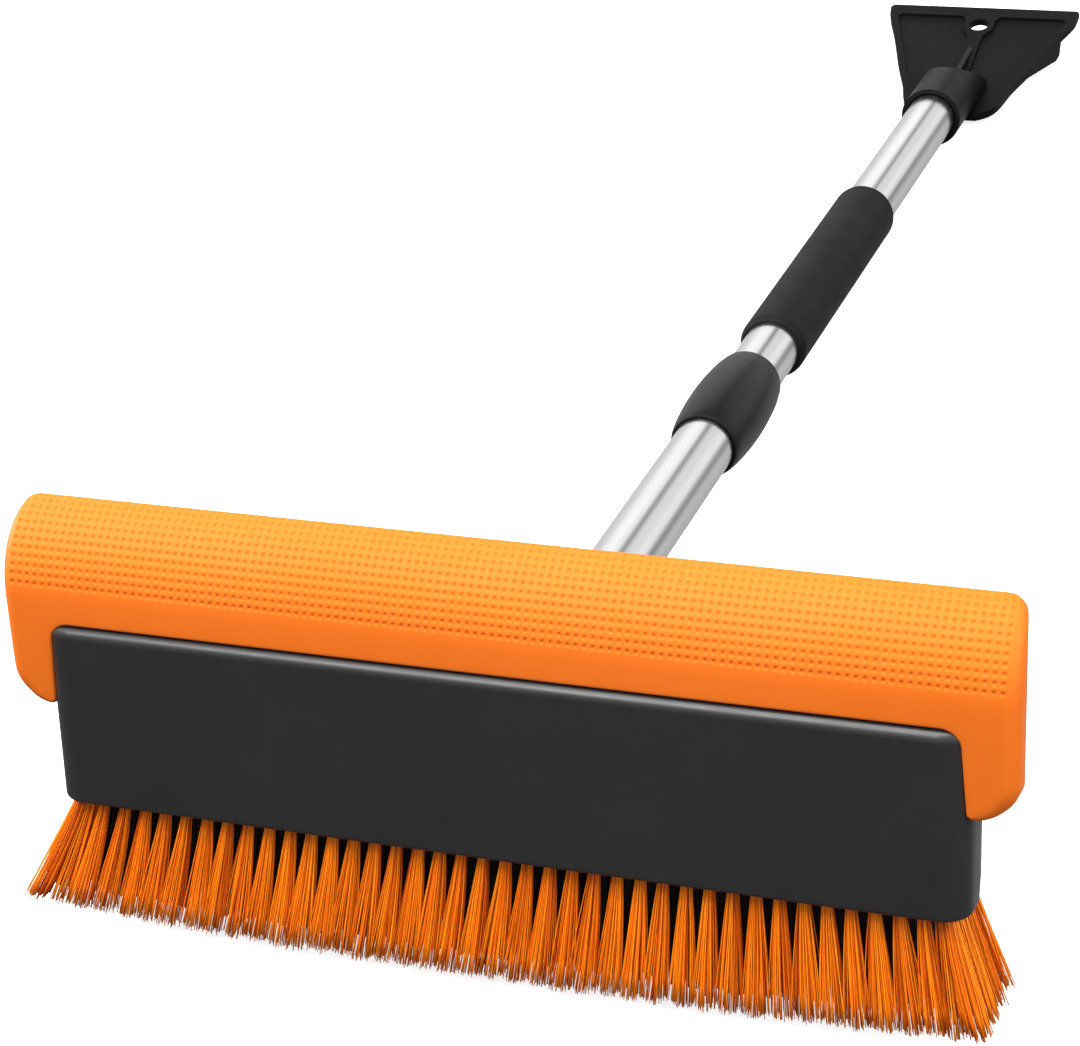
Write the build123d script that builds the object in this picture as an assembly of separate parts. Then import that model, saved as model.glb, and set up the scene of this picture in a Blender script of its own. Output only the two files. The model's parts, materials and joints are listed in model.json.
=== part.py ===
from build123d import *
import math
import os

# ---------------------------------------------------------------------------
# Telescopic snow brush with an ice scraper.
#
# Working frame (used while building): X along the brush head, Y from the
# head's front face towards the scraper, Z up along the bristles.  Its origin
# is the middle of the housing's front face, at the housing's top edge.
#
# Row frame (used for every written file): the tool lies on a floor, on its
# bristle tips and on the scraper, +Z up, +X along the head, +Y from the head
# to the scraper, origin at the middle of the bounding box's bottom face.
# ---------------------------------------------------------------------------

# --- driving dimensions, millimetres ---------------------------------------
# head housing (black block)
block_half = 189.25        # half length of the housing along X
block_h = 78.0             # height of the housing
block_d = 46.0             # depth of the housing
block_side_y = 20.0        # the ends run straight back to here, then taper in
block_rear_half = 184.4    # half length at the rear face
block_r_front = 12.0       # front vertical corners
block_r_rear = 5.0         # rear vertical corners
block_r_top = 4.5          # top edge rounding
block_r_bot = 1.8          # bottom edge rounding
block_wall = 2.8           # shell thickness

# soft cap (orange)
cap_half = 206.5           # half length of the cap
cap_front = 1.8            # foremost line of the cap
cap_side_y = 15.0          # the ends taper in behind this line
cap_dome_r = 38.0          # front and rear dome radius
cap_dome_z = 12.0          # height of the dome's centres
cap_ridge_y = 25.3         # the ridge, where front and rear meet
cap_ridge_r = 6.0          # rounding of the ridge
cap_rear = 2 * cap_ridge_y - cap_front   # rear face
cap_rear_half = 199.4      # half length at the rear face
cap_low = -37.0            # bottom of the two end arms
cap_arm_in = 185.6         # inner edge of the arms
cap_gap = 0.2              # assembly gap between the cap and the housing
cap_end_ease = 3.0         # easing of the end faces' upper edges

# bristle board and tufts
board_top = -64.0
board_bot = -74.0
row_y = (9.0, 18.2, 27.4, 36.6)      # the four tuft rows
tuft_pitch = 9.2
tuft_count = 38                      # upright tufts in a row
tuft_root_r = 2.5
tuft_tip_r = 4.3
tuft_tip_z = -130.5                  # tip level of the upright tufts
end_tuft_x = 178.6                   # root of the leaning end tufts
end_tuft_lean = 25.0                 # degrees outwards
end_tuft_len = 55.5

# pole
pole_z = -36.8             # height of the pole's axis at the front face plane
pole_rise = 5.28           # degrees, the pole's rise above the head's depth axis
tube_r = 14.3              # outer tube, outside radius
tube_wall = 0.5
inner_r = 13.7             # inner tube, outside radius (0.1 mm running fit)
inner_wall = 0.8
socket_flange_y = block_d  # the pole socket sits on the housing's rear face
outer_l0, outer_l1 = 56.0, 347.0     # outer tube, along the pole
inner_l0, inner_l1 = 80.0, 782.0     # inner tube, along the pole

# twist lock
lock_l0, lock_l1 = 288.0, 364.5
grip_l0, grip_l1 = 402.0, 587.5
grip_r = 16.8

# scraper
mouth_l = 741.0            # mouth of the scraper's socket
sock_r = 17.3              # socket outside radius
tip_l, tip_h = 888.7, 19.7 # scraping edge: along the pole, above its axis
blade_slope = 15.93        # degrees between the blade plate and the pole
hang_r = 6.0               # hanging hole radius
hang_a = 18.6              # distance of the hanging hole from the edge
blade_t = 4.6              # thickness over the raised rim
panel_t = 2.6              # thickness of the recessed panels

# travel of the inner pole, from the length it is stored at
slide_out = 170.0
slide_in = -33.0

# row placement
tilt = 11.275              # degrees, head leaned back until the scraper rests
row_dy = -429.024           # centres the bounding box on the origin
row_dz = 136.071            # lifts its lowest point to the floor

os.makedirs("parts", exist_ok=True)

# --- helpers ---------------------------------------------------------------
br = math.radians(pole_rise)
# pole frame: local Z runs along the pole, local Y points down, X is shared
POLE = Plane(origin=(0, 0, pole_z), x_dir=(1, 0, 0), z_dir=(0, math.cos(br), math.sin(br)))


def on_pole(s):
    """Place a shape drawn in the pole's own frame."""
    return POLE.location * s


def try_fillet(s, edges, r, label):
    """Round edges, easing the radius when the kernel refuses it."""
    edges = list(edges)
    for k in (1.0, 0.8, 0.6, 0.4, 0.25):
        try:
            out = fillet(edges, r * k)
            if out.is_valid:
                if k < 1.0:
                    print("eased", label, r * k)
                return out
        except Exception:
            pass
    print("not rounded:", label)
    return s


def ring(r_out, r_in, l0, l1):
    """A plain tube along local Z."""
    return Pos(0, 0, l0) * extrude(Circle(r_out) - Circle(r_in), l1 - l0)


def rod(r, l0, l1):
    return Pos(0, 0, l0) * extrude(Circle(r), l1 - l0)


def turned(points):
    """Revolve a closed (radius, along) outline about local Z."""
    face = make_face(Polyline(*[(p[0], 0, p[1]) for p in points], close=True))
    return revolve(face, Axis.Z, 360)


def round_poly(corners):
    """A closed outline of straight sides with rounded corners, as a face.
    Each corner is (x, y, radius)."""
    n = len(corners)
    area = sum(corners[i - 1][0] * corners[i][1] - corners[i][0] * corners[i - 1][1] for i in range(n))
    if area < 0:
        corners = corners[::-1]
    cut = []
    for i in range(n):
        px, py, _ = corners[i - 1]
        x, y, r = corners[i]
        qx, qy, _ = corners[(i + 1) % n]
        ax, ay = px - x, py - y
        bx, by = qx - x, qy - y
        la, lb = math.hypot(ax, ay), math.hypot(bx, by)
        ax, ay, bx, by = ax / la, ay / la, bx / lb, by / lb
        if r <= 0:
            cut.append(((x, y), None, (x, y)))
            continue
        half_angle = math.acos(max(-1, min(1, ax * bx + ay * by))) / 2
        t = r / math.tan(half_angle)
        mx, my = ax + bx, ay + by
        lm = math.hypot(mx, my)
        d = r / math.sin(half_angle)
        cx, cy = x + mx / lm * d, y + my / lm * d
        mid = (cx - mx / lm * r, cy - my / lm * r)
        cut.append(((x + ax * t, y + ay * t), mid, (x + bx * t, y + by * t)))
    edges = []
    for i in range(n):
        a, mid, b = cut[i]
        if mid is not None:
            edges.append(ThreePointArc(a, mid, b))
        c = cut[(i + 1) % n][0]
        if math.hypot(b[0] - c[0], b[1] - c[1]) > 1e-6:
            edges.append(Line(b, c))
    return make_face(edges)


def plan(half, y0, side_y, y1, half_rear):
    return make_face(Polyline((-half, y0), (half, y0), (half, side_y), (half_rear, y1),
                              (-half_rear, y1), (-half, side_y), close=True))


def vertical_edges(s, y_lo, y_hi):
    return [e for e in s.edges().filter_by(Axis.Z) if y_lo < e.center().Y < y_hi]


# --- head housing ----------------------------------------------------------
def block_outer(grow=0.0, z0=-block_h, z1=0.0, r_top=block_r_top, r_bot=block_r_bot):
    f = plan(block_half + grow, -grow, block_side_y, block_d + grow, block_rear_half + grow)
    s = Pos(0, 0, z0) * extrude(f, z1 - z0)
    s = fillet(vertical_edges(s, -5, 5), block_r_front + grow)
    s = fillet(vertical_edges(s, block_side_y - 3, block_side_y + 3), 24)
    s = fillet(vertical_edges(s, block_d - 5, block_d + 5), block_r_rear + grow)
    if r_top:
        top = s.faces().sort_by(Axis.Z)[-1]
        s = try_fillet(s, top.edges(), r_top, "block top")
    if r_bot:
        bot = s.faces().sort_by(Axis.Z)[0]
        s = try_fillet(s, bot.edges(), r_bot, "block bottom")
    return s


housing = block_outer()
cav_f = plan(block_half - block_wall, block_wall, block_side_y, block_d - block_wall,
             block_rear_half - block_wall)
cavity = Pos(0, 0, -block_h - 1) * extrude(cav_f, block_h + 1 - 3.0)
cavity = fillet(vertical_edges(cavity, 0, 5), block_r_front - block_wall)
cavity = fillet(vertical_edges(cavity, block_side_y - 3, block_side_y + 3), 22)
cavity = fillet(vertical_edges(cavity, block_d - 6, block_d), 2.5)
housing = housing - cavity

# screw bosses and stiffening ribs inside the shell
board_screw_x = (-160.0, -55.0, 55.0, 160.0)
board_screw_y = 22.8
cap_screw_x = (-150.0, -42.0, 42.0, 150.0)
cap_screw_y = 30.0
sock_screw = ((-26.0, -19.0), (26.0, -19.0), (-26.0, -55.0), (26.0, -55.0))   # X, Z on the rear face
inside = None
for x in board_screw_x:
    post = Pos(x, board_screw_y, board_top) * extrude(Circle(5.0), -board_top - 2.0)
    inside = post if inside is None else inside + post
for x in (-120.0, -88.0, 88.0, 120.0):
    inside = inside + Pos(x, block_d / 2, (board_top - 2.0) / 2) * Box(2.2, block_d - 4.0, -board_top - 2.0)
for x, z in sock_screw:
    inside = inside + Pos(x, block_d - 1.0, z) * Rot(90, 0, 0) * extrude(Circle(5.0), 17.0)
housing = housing + inside
for x in board_screw_x:                       # pilot holes for the board screws
    housing = housing - Pos(x, board_screw_y, board_top - 1) * extrude(Circle(1.6), 20.0)
for x in cap_screw_x:                         # clearance holes for the cap screws
    housing = housing - Pos(x, cap_screw_y, -8) * extrude(Circle(2.1), 12.0)
for x, z in sock_screw:
    housing = housing - Pos(x, block_d + 1, z) * Rot(90, 0, 0) * extrude(Circle(2.0), 17.0)

# --- bristle board ---------------------------------------------------------
brd_f = plan(block_half - block_wall - 0.15, block_wall + 0.15, block_side_y,
             block_d - block_wall - 0.15, block_rear_half - block_wall - 0.15)
board = Pos(0, 0, board_bot) * extrude(brd_f, board_top - board_bot)
board = fillet(vertical_edges(board, 0, 5), block_r_front - block_wall)
board = fillet(vertical_edges(board, block_side_y - 3, block_side_y + 3), 22)
board = fillet(vertical_edges(board, block_d - 6, block_d), 2.5)
for x in board_screw_x:
    board = board - Pos(x, board_screw_y, board_bot - 1) * extrude(Circle(1.75), 14)
    board = board - Pos(x, board_screw_y, board_bot - 1) * extrude(Circle(3.9), 4.0)


def pan_screw(head_r, head_h, shank_r, length):
    """Pan-head screw: head above the origin, shank down local -Z."""
    h = extrude(Circle(head_r), head_h)
    h = try_fillet(h, [h.edges().filter_by(GeomType.CIRCLE).sort_by(Axis.Z)[-1]], head_h * 0.45, "screw head")
    s = h + Pos(0, 0, -length) * extrude(Circle(shank_r), length)
    slot = Pos(0, 0, head_h) * (Box(head_r * 1.1, head_r * 0.24, head_h) + Box(head_r * 0.24, head_r * 1.1, head_h))
    return s - slot


board_screws = [Pos(x, board_screw_y, board_bot + 3.0) * Rot(180, 0, 0) * pan_screw(3.6, 2.4, 1.6, 16.0)
                for x in board_screw_x]
socket_flange_t = 4.5
socket_screws = [Pos(x, block_d + socket_flange_t, z) * Rot(-90, 0, 0) * pan_screw(3.9, 2.6, 2.0, 17.0)
                 for x, z in sock_screw]


# --- bristle tufts ---------------------------------------------------------
def tuft(x, y, lean_x=0.0, length=board_bot - tuft_tip_z):
    """A fanned bundle of filaments: narrow at the board, wide at the tips."""
    c = Pos(0, 0, -length / 2) * Cone(tuft_tip_r, tuft_root_r, length)
    if lean_x:
        # the leaning root is trimmed flush with the board
        c = Pos(0, 0, -(length + 3) / 2 + 3) * Cone(tuft_tip_r, tuft_root_r, length + 3)
        c = Rot(0, lean_x, 0) * c
        c = c - Pos(0, 0, 10) * Box(60, 60, 20)
    return Pos(x, y, board_bot) * c


row_x = [(i - (tuft_count - 1) / 2) * tuft_pitch for i in range(tuft_count)]


def clear_of_screws(x, y):
    return not (abs(y - board_screw_y) < 7.0 and min(abs(x - s) for s in board_screw_x) < 6.4)


def tuft_row(y):
    return [tuft(x, y) for x in row_x if clear_of_screws(x, y)]


rows = [tuft_row(y) for y in row_y]
# Rot about +Y by a positive angle leans a hanging tuft towards -X


def end_x(y):
    """The end tufts follow the housing's tapered ends."""
    return end_tuft_x - max(0.0, y - block_side_y) * (block_half - block_rear_half) / (block_d - block_side_y)


left_end_tufts = [tuft(-end_x(y), y, end_tuft_lean, end_tuft_len) for y in row_y]
right_end_tufts = [tuft(end_x(y), y, -end_tuft_lean, end_tuft_len) for y in row_y]

# --- soft cap --------------------------------------------------------------
cap_wall = 4.0


def cap_profile(t):
    """Side outline of the cap, drawn in the YZ plane, moved inwards by t."""
    zc, r, rk = cap_dome_z, cap_dome_r - t, cap_ridge_r - t
    yc, reach = cap_front + cap_dome_r, cap_dome_r - cap_ridge_r
    uy = (cap_ridge_y - yc) / reach
    uz = math.sqrt(1 - uy * uy)
    lo = cap_low + t
    f0, f1 = (cap_front + 2.4 + t, lo), (cap_front + t, zc)
    tan_f = (yc + r * uy, zc + r * uz)
    ml = math.hypot(uy - 1, uz)
    mid_f = (yc + r * (uy - 1) / ml, zc + r * uz / ml)

    def flip(p):
        return (2 * cap_ridge_y - p[0], p[1])

    lines = Polyline(f0, f1) + ThreePointArc(f1, mid_f, tan_f) \
        + ThreePointArc(tan_f, (cap_ridge_y, zc + reach * uz + rk), flip(tan_f)) \
        + ThreePointArc(flip(tan_f), flip(mid_f), flip(f1)) + Polyline(flip(f1), (flip(f1)[0], lo), f0)
    return make_face([Plane.YZ.location * e for e in lines.edges()])


def cap_solid(t=0.0):
    body = Pos(-cap_half - 5, 0, 0) * extrude(cap_profile(t), 2 * cap_half + 10, dir=(1, 0, 0))
    slope = (cap_half - cap_rear_half) / (cap_rear - cap_side_y)
    pl = plan(cap_half - t, -20, cap_side_y, cap_rear + 10, cap_rear_half - slope * 10 - t)
    col = Pos(0, 0, -60) * extrude(pl, 140)
    col = fillet(vertical_edges(col, cap_side_y - 3, cap_side_y + 3), 20)
    body = body & col
    # front outline: a saddle with two arms
    arm = cap_arm_in + t
    big, small = 16.0 - 1.3 * t, max(3.6 - t, 0.8)
    f = round_poly([(-cap_half + t, cap_low + t, big), (-cap_half + t, 60, 0), (cap_half - t, 60, 0), (cap_half - t, cap_low + t, big),
                    (arm + 0.9, cap_low + t, small), (arm - 0.9, 0.4 + t, 8.0), (-arm + 0.9, 0.4 + t, 8.0), (-arm - 0.9, cap_low + t, small)])
    saddle = Pos(0, 90, 0) * (Rot(90, 0, 0) * extrude(f, 120, dir=(0, 0, 1)))
    return body & saddle


cap = cap_solid()
ends = [f for f in cap.faces() if abs(f.center().X) > 190 and abs(f.normal_at().X) > 0.9 and f.area > 1000]
cap = chamfer([e for f in ends for e in f.edges() if e.center().Z > 5], cap_end_ease)
hollow = cap_solid(cap_wall)
hollow = hollow + Pos(0, 24.0, 2.0) * Box(330, 28, 8)          # open towards the housing's top
for x in (-171.0, -100.0, -50.0 + 25, 25.0, 100.0, 171.0):      # cross ribs
    hollow = hollow - Pos(x, 30, 10) * Box(2.4, 90, 120)
for x in cap_screw_x:
    hollow = hollow - Pos(x, cap_screw_y, -10) * extrude(Circle(5.0), 80)
cap = cap - hollow
cap = cap - block_outer(grow=cap_gap, z0=-90, z1=cap_gap, r_top=block_r_top, r_bot=0)
for x in cap_screw_x:
    cap = cap - Pos(x, cap_screw_y, -1) * extrude(Circle(2.0), 17)
cap_screws = [Pos(x, cap_screw_y, -3.0) * Rot(180, 0, 0) * pan_screw(4.2, 2.6, 2.0, 18.0) for x in cap_screw_x]

# --- pole socket on the back of the housing --------------------------------
neck_r = 19.0
neck_l1 = 94.0
bolt_l = 70.0
flange = round_poly([(-37, -67, 9), (37, -67, 9), (37, -7, 9), (-37, -7, 9)])
flange = Pos(0, block_d + socket_flange_t, 0) * (Rot(90, 0, 0) * extrude(flange, socket_flange_t, dir=(0, 0, 1)))
neck = on_pole(rod(neck_r, 30, neck_l1))
neck = neck + on_pole(turned([(0, 30), (neck_r + 2, 30), (neck_r + 6.5, 46), (neck_r + 1.2, 62), (neck_r, 74), (0, 74)]))
neck = neck - Pos(0, 0, pole_z) * Box(200, 2 * block_d, 200)
web_pts = [(block_d, -65), (block_d + 4, -65), (82, -42), (82, -22), (block_d + 4, -9), (block_d, -9)]
web = extrude(make_face([Plane.YZ.location * e for e in Polyline(*web_pts, close=True).edges()]), 3.0, dir=(1, 0, 0))
socket = flange + neck + Pos(-1.5, 0, 0) * web
socket = socket - on_pole(rod(tube_r + 0.03, outer_l0, 200))
for x, z in sock_screw:
    socket = socket - Pos(x, block_d + 20, z) * Rot(90, 0, 0) * extrude(Circle(2.1), 40)
cross = on_pole(Pos(0, 0, bolt_l) * Rot(90, 0, 0) * Cylinder(2.05, 60))
seat = on_pole(Pos(0, -neck_r - 4.0, bolt_l) * Rot(90, 0, 0) * Cylinder(4.6, 8.0))
seat2 = on_pole(Pos(0, neck_r + 4.0, bolt_l) * Rot(90, 0, 0) * Cylinder(4.6, 8.0))
socket = socket - cross - seat - seat2
outer_tube = on_pole(ring(tube_r, tube_r - tube_wall, outer_l0, outer_l1)) - cross
tube_plug = on_pole(turned([(0, outer_l0 + 0.2), (tube_r - tube_wall - 0.05, outer_l0 + 0.2), (tube_r - tube_wall - 0.05, 79.0),
                            (tube_r - tube_wall - 1.5, 80.5), (0, 80.5)])) - cross
socket_bolt = on_pole(Pos(0, 0, bolt_l) * (Rot(90, 0, 0) * Cylinder(2.0, 2 * neck_r)
                      + Pos(0, -neck_r - 1.2, 0) * Rot(90, 0, 0) * Cylinder(4.3, 2.4)
                      + Pos(0, neck_r + 1.2, 0) * Rot(90, 0, 0) * Cylinder(4.3, 2.4)))
socket_bolt = socket_bolt - on_pole(Pos(0, -neck_r - 2.4, bolt_l) * Box(4.6, 1.6, 1.0)) - on_pole(Pos(0, -neck_r - 2.4, bolt_l) * Box(1.0, 1.6, 4.6))

# --- twist lock ------------------------------------------------------------
lock_body = turned([(14.35, 300), (15.0, 300), (15.9, 301.5), (15.9, 305), (15.5, 305.6), (15.5, 309.4), (15.9, 310), (15.9, 314),
                    (15.5, 314.6), (15.5, 318.4), (15.9, 319), (15.9, 323), (15.5, 323.6), (15.5, 327.4), (15.9, 328), (15.9, 345.5),
                    (14.35, 345.5)])
lock_body = on_pole(lock_body)
clamp = turned([(inner_r + 0.05, 348.0), (15.0, 348.0), (15.9, 350.0), (15.9, 356.0), (14.8, 358.3), (inner_r + 0.05, 358.3)])
clamp = clamp - Pos(0, 15, 353) * Box(2.0, 20, 20)
clamp = on_pole(clamp)
collar_profile = [(14.36, 288.6), (14.9, 288.0), (15.75, 288.2), (16.5, 290.6), (17.35, 296.0), (18.0, 302.5), (18.5, 309.5), (18.85, 317.5),
                  (18.95, 325.0), (18.85, 332.5), (18.55, 340.0), (18.05, 347.5), (17.35, 354.5), (16.55, 359.6), (15.7, 362.9), (14.9, 364.3),
                  (14.3, 364.5)]
side = Spline(*[(p[0], 0, p[1]) for p in collar_profile[2:]], tangents=((0.45, 0, 1), (-1, 0, 0.25)))
collar_face = make_face([side] + Polyline((14.3, 0, 364.5), (inner_r + 0.1, 0, 364.0), (inner_r + 0.1, 0, 359.2), (16.0, 0, 358.6), (16.0, 0, 299.0),
                        (14.36, 0, 297.4), (14.36, 0, 288.6), (14.9, 0, 288.0), (15.75, 0, 288.2)).edges())
lock_collar = on_pole(revolve(collar_face, Axis.Z, 360))

# --- inner pole ------------------------------------------------------------
inner_l0 = 120.0
inner_tube = on_pole(ring(inner_r, inner_r - inner_wall, inner_l0, inner_l1))
guide_bush = on_pole(turned([(0, 114), (12.6, 114), (13.75, 115.2), (13.75, 119.98), (inner_r - inner_wall - 0.03, 119.98), (inner_r - inner_wall - 0.03, 137),
                             (inner_r - inner_wall - 1.0, 138), (0, 138)]))
g = grip_r
grip_face = Plane.XZ.location * round_poly([(inner_r + 0.02, grip_l0, 0), (15.2, grip_l0, 1.0), (g, grip_l0 + 3.4, 3.0), (g, grip_l1 - 3.4, 3.0),
                                            (15.2, grip_l1, 1.0), (inner_r + 0.02, grip_l1, 0)])
foam_grip = on_pole(revolve(grip_face, Axis.Z, 360))

# --- ice scraper -----------------------------------------------------------
al = math.radians(blade_slope)
BLADE = Plane(origin=(0, -tip_h, tip_l), x_dir=(1, 0, 0), z_dir=(0, -math.cos(al), -math.sin(al)))
half = [(59.2, 0.0), (58.3, -9.0), (53.9, -23.0), (46.0, -46.5), (38.7, -69.0), (32.2, -87.5), (29.6, -98.0), (25.6, -106.5), (17.0, -112.5)]


r_side = Spline(*half[1:], tangents=((-0.16, -1), (-1, -0.42)))
l_side = Spline(*[(-p[0], p[1]) for p in half[1:]], tangents=((0.16, -1), (1, -0.42)))
tip_x = half[0][0]
c = 3.2
plate_f = make_face([r_side, l_side, Line((17.0, -112.5), (-17.0, -112.5)),
                     Line((half[1][0], half[1][1]), (tip_x, -c)), ThreePointArc((tip_x, -c), (tip_x - 0.293 * c, -0.293 * c), (tip_x - c, 0)),
                     Line((tip_x - c, 0), (-tip_x + c, 0)), ThreePointArc((-tip_x + c, 0), (-tip_x + 0.293 * c, -0.293 * c), (-tip_x, -c)),
                     Line((-tip_x, -c), (-half[1][0], half[1][1]))])
plate = Pos(0, 0, -blade_t) * extrude(plate_f, blade_t, dir=(0, 0, 1))
edge_cut = [(0.5, -1.3), (-10.0, -blade_t - 0.02), (0.5, -blade_t - 3)]
wedge = extrude(make_face([Plane.YZ.location * e for e in Polyline(*edge_cut, close=True).edges()]), 140, dir=(1, 0, 0))
plate = plate - Pos(-70, 0, 0) * wedge
panel = round_poly([(53.2, -9.4, 3.0), (48.9, -24.0, 30), (41.6, -46.5, 0), (34.4, -69.0, 0), (28.6, -84.0, 12), (20.0, -93.5, 6),
                    (-20.0, -93.5, 6), (-28.6, -84.0, 12), (-34.4, -69.0, 0), (-41.6, -46.5, 0), (-48.9, -24.0, 30), (-53.2, -9.4, 3.0)])
boss = round_poly([(-16, -4, 0), (-9.2, -13.5, 3.5), (-9.2, -22.5, 5.0), (-4.3, -31.5, 4.0), (-4.3, -68, 1.8), (4.3, -68, 1.8), (4.3, -31.5, 4.0),
                   (9.2, -22.5, 5.0), (9.2, -13.5, 3.5), (16, -4, 0)])
recess = panel - boss
plate = plate - Pos(0, 0, -(blade_t - panel_t)) * extrude(recess, 10)
hole = Pos(0, -hang_a, -10) * extrude(Circle(hang_r), 20)
# side skirts below the edges
p2, p1 = (36.2, -72.5), (52.2, -25.0)
dx, dy = p1[0] - p2[0], p1[1] - p2[1]
sl = math.hypot(dx, dy)
SK = Plane(origin=(p2[0], p2[1], -blade_t + 0.6), x_dir=(dx / sl, dy / sl, 0), z_dir=(dy / sl, -dx / sl, 0))
skirt = SK.location * extrude(make_face(Polyline((0, 0), (sl, 0), (sl - 3.5, -9.5), (sl - 7.5, -11.0), close=True)), 2.6, dir=(0, 0, -1))
plate = plate + skirt + skirt.mirror(Plane.YZ)
scraper = BLADE.location * plate
sock = rod(sock_r, mouth_l, 818.0)
# ramp over the socket's top and its relief below
ramp = make_face([Plane.YZ.location * e for e in Polyline((-8.9, 796.0), (-8.9 - 30 * math.tan(math.radians(30)), 766.0), (-60, 766), (-60, 860),
                                                           (-8.9 + 40 * math.tan(math.radians(30)), 836.0), close=True).edges()])
sock = sock - Pos(-40, 0, 0) * extrude(ramp, 80, dir=(1, 0, 0))
under = make_face([Plane.YZ.location * e for e in Polyline((sock_r + 3, 786.0), (2.0, 826.0), (40, 826.0), (40, 786.0), close=True).edges()])
sock = sock - Pos(-40, 0, 0) * extrude(under, 80, dir=(1, 0, 0))
rim = turned([(sock_r - 1, mouth_l), (sock_r + 0.5, mouth_l + 0.6), (sock_r + 0.5, mouth_l + 5.0), (sock_r - 1, mouth_l + 6.0)])
keel = extrude(make_face([Plane.YZ.location * e for e in Polyline((0, 790), (14, 790), (6, 826), (-4, 862), (-9, 862), (-4, 800), close=True).edges()]), 3.0, dir=(1, 0, 0))
scraper = scraper + sock + Pos(-1.5, 0, 0) * keel
bore = rod(inner_r + 0.03, mouth_l - 1, inner_l1 + 0.3)
lead = turned([(0, mouth_l - 1), (inner_r + 1.6, mouth_l - 1), (inner_r + 1.0, mouth_l + 0.6), (inner_r + 0.03, mouth_l + 2.0), (0, mouth_l + 2.0)])
scraper = scraper - bore - lead - BLADE.location * hole
scr_l = (753.0, 771.0)
for l in scr_l:
    scraper = scraper - Pos(0, 10, l) * Rot(-90, 0, 0) * extrude(Circle(1.8), 20)
    scraper = scraper - Pos(0, sock_r - 1.6, l) * Rot(-90, 0, 0) * extrude(Circle(3.6), 10)
upper_plug = turned([(0, 744), (inner_r - inner_wall - 1.2, 744), (inner_r - inner_wall - 0.03, 745.2), (inner_r - inner_wall - 0.03, inner_l1), (0, inner_l1)])
scraper_screws = []
for l in scr_l:
    inner_tube = inner_tube - on_pole(Pos(0, 8, l) * Rot(-90, 0, 0) * extrude(Circle(1.8), 12))
    upper_plug = upper_plug - Pos(0, 5.5, l) * Rot(-90, 0, 0) * extrude(Circle(1.75), 12)
    scraper_screws.append(on_pole(Pos(0, sock_r - 1.6, l) * Rot(-90, 0, 0) * pan_screw(3.4, 1.9, 1.7, 9.5)))
upper_plug = on_pole(upper_plug)
ice_scraper = on_pole(scraper)

nodes = {
    "orange_cap": cap, "head_housing": housing, "bristle_board": board, "front_tufts": rows[0], "middle_front_tufts": rows[1],
    "middle_rear_tufts": rows[2], "rear_tufts": rows[3], "left_end_tufts": left_end_tufts, "right_end_tufts": right_end_tufts, "board_screws": board_screws, "cap_screws": cap_screws,
    "pole_socket": socket, "socket_screws": socket_screws, "socket_rivet": socket_bolt, "outer_tube": outer_tube, "outer_tube_plug": tube_plug,
    "lock_body": lock_body, "clamp_ring": clamp, "lock_collar": lock_collar, "inner_tube": inner_tube, "guide_bush": guide_bush,
    "grip_sleeve": foam_grip, "ice_scraper": ice_scraper, "upper_tube_plug": upper_plug, "scraper_screws": scraper_screws,
}

# --- place in the row frame and write --------------------------------------
lean = Rot(-tilt, 0, 0)
lo = [1e9] * 3
hi = [-1e9] * 3
placed = {}
for name, s in nodes.items():
    if isinstance(s, list):
        s = Compound(children=[p for q in s for p in (q.solids() if hasattr(q, "solids") else [q])])
    s = lean * s
    placed[name] = s
    b = s.bounding_box(optimal=True) if name != "rear_tufts" else s.bounding_box()
    for i, (a, c) in enumerate(zip((b.min.X, b.min.Y, b.min.Z), (b.max.X, b.max.Y, b.max.Z))):
        lo[i] = min(lo[i], a)
        hi[i] = max(hi[i], c)
    print(name, "low", round(b.min.Z, 2))
print("leaned box", [round(v, 3) for v in lo + hi])
shift = Pos(0, row_dy, row_dz)
for name, s in placed.items():
    export_step(shift * s, "parts/" + name + ".step")
th = math.radians(pole_rise - tilt)
print("inner pole travel", slide_in, slide_out)
print("pole axis direction", 0.0, round(math.cos(th), 7), round(math.sin(th), 7))
tr = math.radians(tilt)
print("pole point at the front face", 0.0, round(pole_z * math.sin(tr) + row_dy, 4), round(pole_z * math.cos(tr) + row_dz, 4))
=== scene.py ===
import json
import math

import bpy
import numpy as np
from mathutils import Matrix, Vector
from mathutils.geometry import delaunay_2d_cdt


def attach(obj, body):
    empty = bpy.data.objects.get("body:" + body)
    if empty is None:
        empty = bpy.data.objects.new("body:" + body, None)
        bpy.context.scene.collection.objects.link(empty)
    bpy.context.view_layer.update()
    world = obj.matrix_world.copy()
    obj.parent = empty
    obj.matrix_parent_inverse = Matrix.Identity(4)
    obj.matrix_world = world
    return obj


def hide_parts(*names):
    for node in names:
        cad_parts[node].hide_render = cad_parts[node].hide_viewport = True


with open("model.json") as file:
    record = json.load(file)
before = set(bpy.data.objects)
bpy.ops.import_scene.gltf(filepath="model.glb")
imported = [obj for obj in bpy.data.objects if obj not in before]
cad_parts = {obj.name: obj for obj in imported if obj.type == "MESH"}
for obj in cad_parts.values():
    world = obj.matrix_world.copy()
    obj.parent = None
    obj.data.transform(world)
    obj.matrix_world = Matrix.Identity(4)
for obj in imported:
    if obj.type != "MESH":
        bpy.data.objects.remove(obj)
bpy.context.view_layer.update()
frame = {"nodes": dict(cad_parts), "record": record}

nodes = frame["nodes"]

# ---------------------------------------------------------------------------
# Head frame, in millimetres: X along the head, Y back from the housing's front
# face, Z up along the bristles, origin at the middle of the front face's top
# edge.  row() takes it to the row frame in metres.
# ---------------------------------------------------------------------------
TILT = math.radians(11.275)
ROW_DY, ROW_DZ = -429.024, 136.071
CT, ST = math.cos(TILT), math.sin(TILT)


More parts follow.
